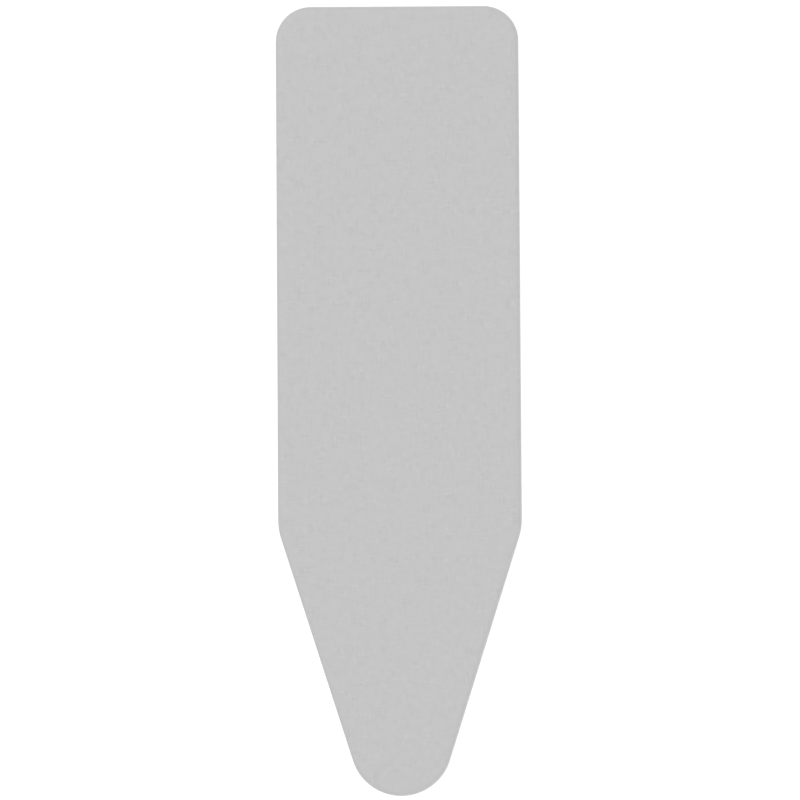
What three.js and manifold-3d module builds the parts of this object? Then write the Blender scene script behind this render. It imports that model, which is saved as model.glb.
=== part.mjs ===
// An ironing board cover in the shape it takes on its board, with the board left out.
// A metallised cotton face with a foam lining goes over the board's top and edge, turns
// under it as a skirt, and ends in a corded hem. A drawcord runs inside the hem and
// leaves it at the square end, where a sprung cord lock grips it. Three elastic straps
// cross underneath, each with a hinged clip at both ends that closes on the hem.
//
// Millimetres. X is the board's width, +Y runs to its square end, +Z is up out of the
// ironing face, and the origin is under the middle of the cover, on what it lies on.

import * as THREE from "three";
import Module from "manifold-3d";
import { mergeVertices } from "three/addons/utils/BufferGeometryUtils.js";

const wasm = await Module();
wasm.setup();

// The board that the cover is cut for
const boardLength = 1240;
const boardWidth = 379;
const boardEndWidth = 377;
const boardThickness = 20;
const shoulderFromEnd = 821;
const cornerRadius = 52;
const shoulderRadius = 90;
const noseRadius = 77.5;
const boardEdgeRadius = 4;

// The layers that go round the board
const clothThickness = 0.5;
const foamThickness = 2;
const layerGap = 0.3;
const foamSkirtShare = 0.55;

// The hem: its roll, and the line that the drawcord pulls it to
const hemInset = 50;
const hemCornerRadius = 60;
const hemShoulderRadius = 70;
const hemNoseRadius = 42;
const rollWidth = 9;
const rollHeight = 8;
const rollSquareness = 2.6;
const channelRadius = 2.2;
const stitchGap = 0.3;

// The drawcord, where it leaves the hem
const cordRadius = 1.6;
const cordsApart = 0.8;
const cordBendRadius = 10;

// Clearances between pieces that touch
const seatGap = 0.3;
const runningGap = 0.4;

// The elastic straps, placed as shares of the hem's straight side, from the square end
const webbingWidth = 20;
const webbingThickness = 1.2;
const webbingFoldLength = 24;
const webbingTaperLength = 6;
const webbingEyeGap = 0.6;
const rearStrapShare = 0.16;
const middleStrapShare = 0.54;
const frontStrapShare = 0.92;

// The clips at the ends of the straps
const plateThickness = 1;
const leverThickness = 1.2;
const railWidth = 1.6;
const barWidth = 2;
const slotPlay = 3.2;
const slotMargin = 1.2;
const earThickness = 1.2;
const pinRadius = 1;
const pinHeadRadius = 1.8;
const pinHeadThickness = 0.6;
const knuckleRadius = 2.6;
const hemToKnuckle = 2.7;
const jawOverhang = 0.9;
const jawDrop = 3.6;
const jawTipFlat = 0.8;
const thumbReach = 4;
const footProud = 0.4;
const boardHeadroom = 0.8;

// The cord lock: a barrel, a button that slides in it and a spring behind the button
const lockRadius = 5.7;
const lockWall = 1.2;
const lockLip = 4.8;
const lockChamber = 8.8;
const lockFloor = 2;
const lockEdge = 1.4;
const lockTravel = 35;
const buttonTravel = 3.5;
const buttonHeadLength = 3.6;
const buttonHeadRadius = 5.3;
const buttonWeb = 1.1;
const springWireRadius = 0.35;
const springTurns = 4;
const springSideGap = 0.6;

// The clasp that joins the cord's two ends
const claspWidth = 13;
const claspLength = 13;
const claspHeight = 8;
const claspRound = 2.4;
const claspSocket = 9;

// How finely the round parts are divided
const cornerSteps = 8;
const shoulderSteps = 3;
const noseSteps = 9;
const edgeSteps = 4;
const rollSides = 12;
const cordSides = 8;
const bendSteps = 5;
const curveSteps = 6;
const lockSides = 28;
const pinSides = 16;
const springStepsPerTurn = 8;
const springSides = 5;

// Overrun of every cut
const overrun = 1;

const rightAngle = Math.PI / 2;

// Heights, from the floor up
const hemZ = rollHeight / 2 + runningGap + leverThickness + footProud;
const boardBottomZ = hemZ + rollHeight / 2 + runningGap + plateThickness + boardHeadroom;
const boardTopZ = boardBottomZ + boardThickness;

// Depths of each layer, outwards from the board's skin
const foamIn = 0;
const foamOut = foamThickness;
const clothIn = foamOut + layerGap;
const clothOut = clothIn + clothThickness;

// Plan of the board
const endY = boardLength / 2;
const shoulderY = endY - shoulderFromEnd;
const noseY = noseRadius - endY;

const paint = {
  cloth: { color: 0xc5c5c5, roughness: 0.6, metalness: 0.3 },
  foam: { color: 0xe6e2d8, roughness: 0.95, metalness: 0 },
  binding: { color: 0xb9babb, roughness: 0.8, metalness: 0 },
  cord: { color: 0xe4e4e1, roughness: 0.85, metalness: 0 },
  webbing: { color: 0xd9d9d6, roughness: 0.9, metalness: 0 },
  steel: { color: 0xb8babd, roughness: 0.28, metalness: 1 },
  plastic: { color: 0x4c4f53, roughness: 0.45, metalness: 0 },
};

const cover = new THREE.Group();

function addPiece(name, geometry, look, parent = cover) {
  const mesh = new THREE.Mesh(geometry, new THREE.MeshStandardMaterial(look));
  mesh.name = name;
  parent.add(mesh);
  return mesh;
}

// Manifold joins and cuts
function solidOf(geometry) {
  const bare = geometry.clone();
  bare.deleteAttribute("normal");
  bare.deleteAttribute("uv");
  const merged = mergeVertices(bare);
  const vertProperties = merged.attributes.position.array;
  const triVerts = new Uint32Array(merged.index.array);
  return new wasm.Manifold(new wasm.Mesh({ numProp: 3, vertProperties, triVerts }));
}

function geometryOf(solid) {
  const mesh = solid.getMesh();
  const geometry = new THREE.BufferGeometry();
  geometry.setAttribute("position", new THREE.BufferAttribute(mesh.vertProperties, 3));
  geometry.setIndex(new THREE.BufferAttribute(mesh.triVerts, 1));
  geometry.computeVertexNormals();
  return geometry;
}

function cut(body, ...tools) {
  return tools.reduce((left, tool) => left.subtract(solidOf(tool)), solidOf(body));
}

function join(body, ...others) {
  return others.reduce((whole, other) => whole.add(solidOf(other)), solidOf(body));
}

// A closed surface from points and triangles
function closedSurface(points, triangles) {
  const geometry = new THREE.BufferGeometry().setFromPoints(points);
  geometry.setIndex(triangles);
  geometry.computeVertexNormals();
  return geometry;
}

// Plan outlines. A station is a point of the plan and the normal that faces outwards.
const normalOf = (along) => new THREE.Vector2(-along.y, along.x);

function meeting(a, b) {
  const gap = b.point.clone().sub(a.point);
  return a.point.clone().addScaledVector(a.along, gap.cross(b.along) / a.along.cross(b.along));
}

function arcStations(centre, radius, from, to, steps) {
  const first = Math.atan2(from.y, from.x);
  const turn = Math.atan2(to.y, to.x) - first;
  return Array.from({ length: steps + 1 }, (_, i) => {
    const angle = first + (turn * i) / steps;
    const normal = new THREE.Vector2(Math.cos(angle), Math.sin(angle));
    return { point: centre.clone().addScaledVector(normal, radius), normal };
  });
}

// The rounding of the corner where edge a meets edge b
function roundedCorner(a, b, radius, steps) {
  const [fromA, fromB] = [normalOf(a.along), normalOf(b.along)];
  const inA = { point: a.point.clone().addScaledVector(fromA, -radius), along: a.along };
  const inB = { point: b.point.clone().addScaledVector(fromB, -radius), along: b.along };
  return arcStations(meeting(inA, inB), radius, fromA, fromB, steps);
}

// How far the long tapered edge leans in towards the nose
const noseReach = shoulderY - noseY;
const taperAngle =
  Math.acos(noseRadius / Math.hypot(boardWidth / 2, noseReach)) -
  Math.atan2(noseReach, boardWidth / 2);

// The +X half of the board's outline moved in by inset, from the middle of the square
// end to the nose's tip
function halfOutline(inset, corner, shoulder, nose) {
  const end = { point: new THREE.Vector2(0, endY), along: new THREE.Vector2(1, 0) };
  const side = {
    point: new THREE.Vector2(boardEndWidth / 2, endY),
    along: new THREE.Vector2((boardWidth - boardEndWidth) / 2, -shoulderFromEnd).normalize(),
  };
  const taper = {
    point: new THREE.Vector2(boardWidth / 2, shoulderY),
    along: new THREE.Vector2(-Math.sin(taperAngle), -Math.cos(taperAngle)),
  };
  for (const edge of [end, side, taper]) {
    edge.point.addScaledVector(normalOf(edge.along), -inset);
  }
  const leaning = normalOf(taper.along);
  const noseCentre = new THREE.Vector2(0, (nose - taper.point.dot(leaning)) / Math.sin(taperAngle));
  return [
    { point: end.point, normal: normalOf(end.along) },
    ...roundedCorner(end, side, corner, cornerSteps),
    ...roundedCorner(side, taper, shoulder, shoulderSteps),
    ...arcStations(noseCentre, nose, leaning, new THREE.Vector2(0, -1), noseSteps),
  ];
}

const mirrored = ({ point, normal }) => ({
  point: new THREE.Vector2(-point.x, point.y),
  normal: new THREE.Vector2(-normal.x, normal.y),
});

// The whole outline, counterclockwise seen from above, starting at the nose's tip
function fullOutline(half) {
  return [...half.slice(1).reverse(), ...half.slice(0, -1).map(mirrored)];
}

const boardHalf = halfOutline(0, cornerRadius, shoulderRadius, noseRadius);
const hemHalf = halfOutline(hemInset, hemCornerRadius, hemShoulderRadius, hemNoseRadius);
const boardOutline = fullOutline(boardHalf);
const hemOutline = fullOutline(hemHalf);

function ringAt(outline, offset, z) {
  return outline.map(({ point, normal }) => {
    const moved = point.clone().addScaledVector(normal, offset);
    return new THREE.Vector3(moved.x, moved.y, z);
  });
}

// The skirt's slope: from under the board's edge down to the middle of the hem's roll
const skirtEndOffset = rollWidth / 2 + stitchGap;
const skirtEndZ = hemZ + (clothIn + clothOut) / 2;
const skirtRun = hemInset - skirtEndOffset - boardEdgeRadius;
const skirtSlope = Math.atan2(boardBottomZ - skirtEndZ, skirtRun);

const hemEnd = (depth) => ({
  offset: skirtEndOffset + depth * Math.sin(skirtSlope),
  z: skirtEndZ - depth * Math.cos(skirtSlope),
});

// One surface of a layer, as rings from the ironing face round the edge and along the
// skirt, at a depth outwards from the board's skin
function layerRings(depth, skirtShare) {
  const radius = boardEdgeRadius + depth;
  const edgeRing = (angle, centreZ) =>
    ringAt(boardOutline, radius * Math.cos(angle) - boardEdgeRadius, centreZ + radius * Math.sin(angle));
  const rings = [];
  for (let i = 0; i <= edgeSteps; i++) {
    rings.push(edgeRing(rightAngle * (1 - i / edgeSteps), boardTopZ - boardEdgeRadius));
  }
  for (let i = 0; i <= edgeSteps; i++) {
    rings.push(edgeRing((-(rightAngle - skirtSlope) * i) / edgeSteps, boardBottomZ + boardEdgeRadius));
  }
  const last = rings[rings.length - 1];
  const hemRing = ringAt(hemOutline, hemEnd(depth).offset, hemEnd(depth).z);
  rings.push(last.map((point, i) => point.clone().lerp(hemRing[i], skirtShare)));
  return rings;
}

// A layer: its outer surface, its raw edge and its inner surface
function layerGeometry(inDepth, outDepth, skirtShare) {
  const rings = [...layerRings(outDepth, skirtShare), ...layerRings(inDepth, skirtShare).reverse()];
  const count = boardOutline.length;
  const triangles = [];
  for (let j = 0; j + 1 < rings.length; j++) {
    for (let i = 0; i < count; i++) {
      const next = (i + 1) % count;
      const [a, b] = [j * count + i, j * count + next];
      const [d, c] = [a + count, b + count];
      triangles.push(a, d, b, b, d, c);
    }
  }
  const flat = rings[0].map(({ x, y }) => new THREE.Vector2(x, y));
  const ceiling = (rings.length - 1) * count;
  for (const [a, b, c] of THREE.ShapeUtils.triangulateShape(flat, [])) {
    triangles.push(a, b, c, ceiling + a, ceiling + c, ceiling + b);
  }
  return closedSurface(rings.flat(), triangles);
}

addPiece("face_cloth", layerGeometry(clothIn, clothOut, 1), paint.cloth);
addPiece("foam_lining", layerGeometry(foamIn, foamOut, foamSkirtShare), paint.foam);

// A sweep along stations of the plan. A section lies in the plane of the outward normal
// and the vertical. Where an inner section is given, the sweep is a tube.
function sweepGeometry(stations, outer, inner) {
  const rings = inner ? [outer, inner] : [outer];
  const count = outer.length;
  const perStation = count * rings.length;
  const points = stations.flatMap(({ point, normal }) =>
    rings.flat().map(([across, up]) => {
      const moved = point.clone().addScaledVector(normal, across);
      return new THREE.Vector3(moved.x, moved.y, hemZ + up);
    }),
  );
  const triangles = [];
  const quad = (a, b, c, d) => triangles.push(a, b, c, c, b, d);
  for (let j = 0; j + 1 < stations.length; j++) {
    for (let i = 0; i < count; i++) {
      const here = j * perStation;
      const next = (i + 1) % count;
      quad(here + i, here + next, here + perStation + i, here + perStation + next);
      if (inner) {
        const bore = here + count;
        quad(bore + next, bore + i, bore + perStation + next, bore + perStation + i);
      }
    }
  }
  const last = (stations.length - 1) * perStation;
  if (inner) {
    for (let i = 0; i < count; i++) {
      const next = (i + 1) % count;
      quad(next, i, count + next, count + i);
      quad(last + i, last + next, last + count + i, last + count + next);
    }
  } else {
    for (let i = 1; i + 1 < count; i++) {
      triangles.push(0, i + 1, i, last, last + i, last + i + 1);
    }
  }
  return closedSurface(points, triangles);
}

// A section between an ellipse and a rectangle, squarer as squareness grows
function roundedSection(halfWidth, halfHeight, sides, squareness = 2) {
  const bent = (value) => Math.sign(value) * Math.abs(value) ** (2 / squareness);
  return Array.from({ length: sides }, (_, i) => {
    const angle = (2 * Math.PI * (i + 0.5)) / sides;
    return [halfWidth * bent(Math.cos(angle)), halfHeight * bent(Math.sin(angle))];
  });
}

// The hem's two mouths, on either side of the middle of the square end
const cordX = cordRadius + cordsApart / 2;
const mouthX = cordX + cordBendRadius;
const hemEndY = hemHalf[0].point.y;
const rightHem = [
  { point: new THREE.Vector2(mouthX, hemEndY), normal: hemHalf[0].normal },
  ...hemHalf.slice(1),
];
const hemStations = [...rightHem, ...rightHem.slice(0, -1).reverse().map(mirrored)];

addPiece(
  "hem_binding",
  sweepGeometry(
    hemStations,
    roundedSection(rollWidth / 2, rollHeight / 2, rollSides, rollSquareness),
    roundedSection(channelRadius, channelRadius, rollSides),
  ),
  paint.binding,
);

// The cord lock's place, and the clasp's beyond the lock's travel
const lockY = hemEndY - cordBendRadius - runningGap - lockRadius;
const claspY = lockY - lockTravel - lockRadius - runningGap - claspLength / 2;
const cordEndY = claspY + claspLength / 2 - claspSocket + seatGap;

// The drawcord: one tail, a bend into the hem, the hem, and the same back on the other side
const bendCentre = new THREE.Vector2(mouthX, hemEndY - cordBendRadius);
const rightTail = [
  { point: new THREE.Vector2(cordX, cordEndY), normal: new THREE.Vector2(-1, 0) },
  ...arcStations(
    bendCentre,
    cordBendRadius,
    new THREE.Vector2(-1, 0),
    new THREE.Vector2(0, 1),
    bendSteps,
  ),
];
const rightCord = [...rightTail, ...rightHem.slice(1)];
const cordStations = [...rightCord, ...rightCord.slice(0, -1).reverse().map(mirrored)];

addPiece(
  "draw_cord",
  sweepGeometry(cordStations, roundedSection(cordRadius, cordRadius, cordSides)),
  paint.cord,
);

// A profile in X and Z, extruded along Y and centred on Y = 0
function acrossY(shape, width) {
  const geometry = new THREE.ExtrudeGeometry(shape, {
    depth: width,
    bevelEnabled: false,
    curveSegments: curveSteps,
  });
  return geometry.rotateX(rightAngle).translate(0, width / 2, 0);
}

function rodAlongY(radius, length, x, y, z) {
  return new THREE.CylinderGeometry(radius, radius, length, pinSides).translate(x, y, z);
}

function blockAt(size, x, y, z) {
  return new THREE.BoxGeometry(size.x, size.y, size.z).translate(x, y, z);
}

// A bent strip of plate, from the line down its middle
function stripShape(line, thickness) {
  const points = line.map(([x, z]) => new THREE.Vector2(x, z));
  const sideOf = (i) => {
    const before = points[Math.max(i - 1, 0)];
    const after = points[Math.min(i + 1, points.length - 1)];
    const into = points[i].clone().sub(before).normalize();
    const out = after.clone().sub(points[i]).normalize();
    const along = into.clone().add(out).normalize();
    const straight = into.lengthSq() ? into : out;
    return normalOf(along).multiplyScalar(thickness / 2 / along.dot(straight));
  };
  const left = points.map((point, i) => point.clone().add(sideOf(i)));
  const right = points.map((point, i) => point.clone().sub(sideOf(i)));
  return new THREE.Shape([...right, ...left.reverse()]);
}

// The clip, in its own frame: +X points out of its mouth, and the origin is the middle of
// the hem's roll that it closes round
const clipWidth = webbingWidth + 2 * (runningGap + railWidth);
const earInside = clipWidth / 2 - earThickness;
const earRadius = knuckleRadius + footProud;
const pinBore = pinRadius + seatGap;
const pinX = -(rollWidth / 2 + hemToKnuckle + knuckleRadius);
const pinZ = earRadius - hemZ;
const kneeX = pinX - knuckleRadius - runningGap - plateThickness;
const slotLength = webbingEyeGap + webbingThickness + slotPlay;
const slotEndX = kneeX - slotMargin;
const barX = slotEndX - slotLength - barWidth / 2;
const upperZ = rollHeight / 2 + runningGap + plateThickness / 2;
const lowerZ = -(rollHeight / 2 + runningGap + leverThickness / 2);
const jawShoulder = rollWidth / 2 + jawOverhang;
const jawReach = jawShoulder + jawDrop;
const clothRise = (jawReach - skirtEndOffset) * Math.tan(skirtSlope);
const jawAboveZ = clothRise + clothThickness / 2 + seatGap + plateThickness / 2;
const jawBelowZ = clothRise - clothThickness / 2 - seatGap - leverThickness / 2;

// A cheek that hangs from the plate and holds one end of the pin
function earShape() {
  const shape = new THREE.Shape();
  shape.moveTo(kneeX, 0);
  shape.lineTo(pinX - earRadius, pinZ);
  shape.absarc(pinX, pinZ, earRadius, Math.PI, 2 * Math.PI);
  shape.lineTo(pinX + earRadius, upperZ);
  shape.lineTo(pinX, upperZ);
  shape.closePath();
  return shape;
}

function clipBaseGeometry() {
  const plate = acrossY(
    stripShape(
      [
        [barX - barWidth / 2, 0],
        [kneeX, 0],
        [pinX, upperZ],
        [jawShoulder, upperZ],
        [jawReach, jawAboveZ],
        [jawReach + jawTipFlat, jawAboveZ],
      ],
      plateThickness,
    ),
    clipWidth,
  );
  const slotSize = new THREE.Vector3(
    slotLength,
    webbingWidth + 2 * runningGap,
    plateThickness + overrun,
  );
  const slot = blockAt(slotSize, slotEndX - slotLength / 2, 0, 0);
  const ears = [-1, 1].map((side) =>
    acrossY(earShape(), earThickness).translate(0, (side * (clipWidth - earThickness)) / 2, 0),
  );
  const bore = rodAlongY(pinBore, clipWidth + overrun, pinX, 0, pinZ);
  return geometryOf(join(plate, ...ears).subtract(solidOf(slot)).subtract(solidOf(bore)));
}

// The lever, about its own pin: the pin is at the origin
function clipLeverGeometry() {
  const width = 2 * (earInside - runningGap);
  const armZ = lowerZ - pinZ;
  const tipZ = jawBelowZ - pinZ;
  const bendX = jawShoulder - pinX;
  const tipX = jawReach - pinX;
  const arm = [
    [0, armZ],
    [bendX, armZ],
    [tipX, tipZ],
    [tipX + jawTipFlat, tipZ],
  ];
  const thumb = [
    [bendX - leverThickness, armZ],
    [tipX + thumbReach, armZ],
  ];
  const body = join(
    acrossY(stripShape(arm, leverThickness), width),
    acrossY(stripShape(thumb, leverThickness), width / 2),
    rodAlongY(knuckleRadius, width, 0, 0, 0),
  );
  return geometryOf(body.subtract(solidOf(rodAlongY(pinBore, width + overrun, 0, 0, 0))));
}

// The pin, with a head on each end
function clipPinGeometry() {
  const halfShank = clipWidth / 2 + seatGap;
  const halfLength = halfShank + pinHeadThickness;
  const profile = [
    [0, -halfLength],
    [pinHeadRadius, -halfLength],
    [pinHeadRadius, -halfShank],
    [pinRadius, -halfShank],
    [pinRadius, halfShank],
    [pinHeadRadius, halfShank],
    [pinHeadRadius, halfLength],
    [0, halfLength],
  ].map(([r, y]) => new THREE.Vector2(r, y));
  return new THREE.LatheGeometry(profile, pinSides);
}

// A strap: elastic webbing folded back round each clip's bar and sewn to itself
function strapGeometry(barAt) {
  const eyeHalf = plateThickness / 2 + webbingEyeGap;
  const eyeReach = barWidth / 2 + webbingEyeGap;
  const loopHalf = eyeHalf + webbingThickness;
  const loopReach = eyeReach + webbingThickness;
  const foldEnd = barAt - webbingFoldLength;
  const eyeStart = barAt - webbingTaperLength;
  const shape = new THREE.Shape();
  shape.moveTo(-eyeStart, -webbingThickness);
  shape.lineTo(eyeStart, -webbingThickness);
  shape.absellipse(barAt, 0, loopReach, loopHalf, -rightAngle, rightAngle);
  shape.lineTo(eyeStart, webbingThickness);
  shape.lineTo(foldEnd, webbingThickness);
  shape.lineTo(foldEnd, 0);
  shape.lineTo(-foldEnd, 0);
  shape.lineTo(-foldEnd, webbingThickness);
  shape.lineTo(-eyeStart, webbingThickness);
  shape.absellipse(-barAt, 0, loopReach, loopHalf, rightAngle, 3 * rightAngle);
  shape.closePath();
  for (const side of [-1, 1]) {
    const eye = new THREE.Path();
    eye.moveTo(side * (eyeStart + webbingThickness), 0);
    eye.lineTo(side * barAt, -side * eyeHalf);
    const [from, to] = [-side * rightAngle, (2 - side) * rightAngle];
    eye.absellipse(side * barAt, 0, eyeReach, eyeHalf, from, to);
    eye.closePath();
    shape.holes.push(eye);
  }
  return acrossY(shape, webbingWidth);
}

// The ends of the hem's straight side, where the arcs of its corner and shoulder start
const [sideTop, sideFoot] = [hemHalf[1 + cornerSteps].point, hemHalf[2 + cornerSteps].point];
const clipBase = clipBaseGeometry();
const clipLever = clipLeverGeometry();
const clipPin = clipPinGeometry();

const strapShares = { rear: rearStrapShare, middle: middleStrapShare, front: frontStrapShare };

for (const [place, share] of Object.entries(strapShares)) {
  const at = sideTop.clone().lerp(sideFoot, share);
  const strap = addPiece(`${place}_strap`, strapGeometry(at.x + barX), paint.webbing);
  strap.position.set(0, at.y, hemZ);
  for (const side of ["right", "left"]) {
    const clip = new THREE.Group();
    clip.position.set(side === "right" ? at.x : -at.x, at.y, hemZ);
    clip.rotation.z = side === "right" ? 0 : Math.PI;
    cover.add(clip);
    addPiece(`${place}_${side}_clip_base`, clipBase, paint.steel, clip);
    const lever = addPiece(`${place}_${side}_clip_lever`, clipLever, paint.steel, clip);
    const pin = addPiece(`${place}_${side}_clip_pin`, clipPin, paint.steel, clip);
    lever.position.set(pinX, 0, pinZ);
    pin.position.set(pinX, 0, pinZ);
  }
}

// The cord lock lies across the cords, its button towards +X
const lock = new THREE.Group();
lock.position.set(0, lockY, hemZ);
cover.add(lock);

const cordHalfSpan = cordX + cordRadius + seatGap;
const mouthHalf = cordHalfSpan + seatGap;
const lockMouth = mouthHalf + lockLip;
const boreFloor = -mouthHalf - lockChamber;
const lockBack = boreFloor - lockFloor;
const boreRadius = lockRadius - lockWall;
const buttonRadius = boreRadius - seatGap;
const buttonInner = -cordHalfSpan - buttonWeb;

function turnedAboutX(profile) {
  const points = profile.map(([r, x]) => new THREE.Vector2(r, x));
  return new THREE.LatheGeometry(points, lockSides).rotateZ(-rightAngle);
}

function cordSlot(fromX, toX) {
  const size = new THREE.Vector3(
    toX - fromX,
    2 * (lockRadius + overrun),
    2 * (cordRadius + runningGap),
  );
  return blockAt(size, (fromX + toX) / 2, 0, 0);
}

const barrel = turnedAboutX([
  [0, lockBack],
  [lockRadius - lockEdge, lockBack],
  [lockRadius, lockBack + lockEdge],
  [lockRadius, lockMouth - lockEdge / 2],
  [lockRadius - lockEdge / 2, lockMouth],
  [boreRadius, lockMouth],
  [boreRadius, boreFloor],
  [0, boreFloor],
]);
addPiece(
  "cord_lock_barrel",
  geometryOf(cut(barrel, cordSlot(-mouthHalf, mouthHalf))),
  paint.plastic,
  lock,
);

const headBack = lockMouth + buttonTravel + runningGap;
const headFront = headBack + buttonHeadLength;
const button = turnedAboutX([
  [0, buttonInner],
  [buttonRadius, buttonInner],
  [buttonRadius, headBack],
  [buttonHeadRadius, headBack],
  [buttonHeadRadius, headFront - lockEdge],
  [buttonHeadRadius - lockEdge, headFront],
  [0, headFront],
]);
const buttonSlot = cordSlot(-cordHalfSpan, cordHalfSpan + buttonTravel);
addPiece("cord_lock_button", geometryOf(cut(button, buttonSlot)), paint.plastic, lock);

// The button's spring, one unbroken helix
const springFrom = boreFloor + seatGap + springWireRadius;
const springTo = buttonInner - seatGap - springWireRadius;
const springRadius = boreRadius - springSideGap - springWireRadius;

function springStation(i) {
  const angle = (2 * Math.PI * i) / springStepsPerTurn;
  const outward = new THREE.Vector3(0, Math.cos(angle), Math.sin(angle));
  const centre = outward.clone().multiplyScalar(springRadius);
  centre.x = THREE.MathUtils.lerp(springFrom, springTo, i / (springTurns * springStepsPerTurn));
  return { centre, outward };
}

function springGeometry(stations) {
  const points = stations.flatMap(({ centre, outward }) =>
    Array.from({ length: springSides }, (_, k) => {
      const around = (2 * Math.PI * k) / springSides;
      const point = centre.clone().addScaledVector(outward, springWireRadius * Math.cos(around));
      point.x += springWireRadius * Math.sin(around);
      return point;
    }),
  );
  const triangles = [];
  const last = points.length - springSides;
  for (let j = 0; j < last; j += springSides) {
    for (let k = 0; k < springSides; k++) {
      const [a, b] = [j + k, j + ((k + 1) % springSides)];
      triangles.push(a, a + springSides, b, b, a + springSides, b + springSides);
    }
  }
  for (let k = 1; k + 1 < springSides; k++) {
    triangles.push(0, k, k + 1, last, last + k + 1, last + k);
  }
  return closedSurface(points, triangles);
}

// The least gap between two of the spring's turns
function leastGap(stations) {
  const halfTurn = springStepsPerTurn / 2;
  const gaps = stations.flatMap(({ centre }, i) =>
    stations.slice(i + halfTurn).map((other) => centre.distanceTo(other.centre)),
  );
  return Math.min(...gaps) - 2 * springWireRadius;
}

const springStations = Array.from({ length: springTurns * springStepsPerTurn + 1 }, (_, i) =>
  springStation(i),
);
addPiece("cord_lock_spring", springGeometry(springStations), paint.steel, lock);
console.log(`cord_lock_spring: least gap to itself ${leastGap(springStations).toFixed(2)} mm`);

// The clasp, a rounded block with one blind socket for both ends of the cord
function roundedRectangle(width, height, radius) {
  const [x, y] = [width / 2 - radius, height / 2 - radius];
  const shape = new THREE.Shape();
  shape.absarc(x, y, radius, 0, rightAngle);
  shape.absarc(-x, y, radius, rightAngle, 2 * rightAngle);
  shape.absarc(-x, -y, radius, 2 * rightAngle, 3 * rightAngle);
  shape.absarc(x, -y, radius, 3 * rightAngle, 4 * rightAngle);
  return shape;
}

const claspBlock = acrossY(roundedRectangle(claspWidth, claspHeight, claspRound), claspLength);
const socketRadius = cordRadius + seatGap;
const claspCut = acrossY(
  roundedRectangle(2 * cordHalfSpan, 2 * socketRadius, socketRadius),
  claspSocket + overrun,
).translate(0, (claspLength - claspSocket + overrun) / 2, 0);
const clasp = addPiece("cord_clasp", geometryOf(cut(claspBlock, claspCut)), paint.plastic);
clasp.position.set(0, claspY, hemZ);

export default cover;
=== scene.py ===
"""The ironing board cover's looks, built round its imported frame.

Lengths are in millimetres until a mesh is made, in the row frame: X across the board,
+Y to its square end, +Z up out of the ironing face.
"""

import math

import bpy
import numpy as np
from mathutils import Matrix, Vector
from mathutils.geometry import tessellate_polygon


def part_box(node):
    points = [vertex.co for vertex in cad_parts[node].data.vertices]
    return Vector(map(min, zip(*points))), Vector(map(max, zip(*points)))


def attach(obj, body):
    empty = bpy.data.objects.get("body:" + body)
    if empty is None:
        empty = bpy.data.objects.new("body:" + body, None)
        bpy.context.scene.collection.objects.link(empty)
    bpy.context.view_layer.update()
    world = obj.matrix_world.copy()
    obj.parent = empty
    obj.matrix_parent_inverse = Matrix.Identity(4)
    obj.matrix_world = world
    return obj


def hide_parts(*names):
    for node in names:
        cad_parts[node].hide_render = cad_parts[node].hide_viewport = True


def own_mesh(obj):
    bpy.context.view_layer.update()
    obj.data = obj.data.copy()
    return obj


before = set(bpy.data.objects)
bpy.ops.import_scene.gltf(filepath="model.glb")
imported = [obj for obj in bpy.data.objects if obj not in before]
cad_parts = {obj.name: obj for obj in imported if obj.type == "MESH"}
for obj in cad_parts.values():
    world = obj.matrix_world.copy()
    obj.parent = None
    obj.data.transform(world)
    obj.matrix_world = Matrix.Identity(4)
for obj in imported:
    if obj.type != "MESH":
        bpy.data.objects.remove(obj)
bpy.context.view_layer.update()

MM = 0.001
TURN = 2 * math.pi
RIGHT_ANGLE = math.pi / 2
MIRROR = np.array([-1.0, 1.0])
PLACES = ("rear", "middle", "front")

# The board, the layers on it and the hem, as in the CAD
BOARD_LENGTH, BOARD_WIDTH, BOARD_END_WIDTH, BOARD_THICKNESS = 1240, 379, 377, 20
SHOULDER_FROM_END, BOARD_EDGE_RADIUS = 821, 4
BOARD_RADII = {"corner": 52, "shoulder": 90, "nose": 77.5}
HEM_RADII = {"corner": 60, "shoulder": 70, "nose": 42}
HEM_INSET = 50
CLOTH_THICKNESS, FOAM_THICKNESS, LAYER_GAP, FOAM_SKIRT_SHARE = 0.5, 2, 0.3, 0.55
ROLL_WIDTH, ROLL_HEIGHT, ROLL_SQUARENESS, CHANNEL_RADIUS, STITCH_GAP = 9, 8, 2.6, 2.2, 0.3
CORD_RADIUS, CORDS_APART, CORD_BEND_RADIUS = 1.6, 0.8, 10
HEM_Z, BOARD_BOTTOM_Z = 6, 12.2
BOARD_TOP_Z = BOARD_BOTTOM_Z + BOARD_THICKNESS
CLOTH_DEPTH = FOAM_THICKNESS + LAYER_GAP + CLOTH_THICKNESS / 2

END_Y = BOARD_LENGTH / 2
SHOULDER_Y = END_Y - SHOULDER_FROM_END
NOSE_REACH = SHOULDER_Y - (BOARD_RADII["nose"] - END_Y)
TAPER_ANGLE = math.acos(
    BOARD_RADII["nose"] / math.hypot(BOARD_WIDTH / 2, NOSE_REACH)
) - math.atan2(NOSE_REACH, BOARD_WIDTH / 2)
SIDE_LEAN = (BOARD_WIDTH - BOARD_END_WIDTH) / 2
SIDE_LENGTH = math.hypot(SIDE_LEAN, SHOULDER_FROM_END)

# Where the cords leave the hem
CORD_X = CORD_RADIUS + CORDS_APART / 2
MOUTH_X = CORD_X + CORD_BEND_RADIUS
HEM_END_Y = END_Y - HEM_INSET

# How many steps each stretch of the half outline has, all in fours
STEPS = {"mouth": 8, "end": 44, "corner": 96, "side": 300, "shoulder": 20, "taper": 140, "nose": 104}
COARSE = 4

rng = np.random.default_rng(7)


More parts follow.
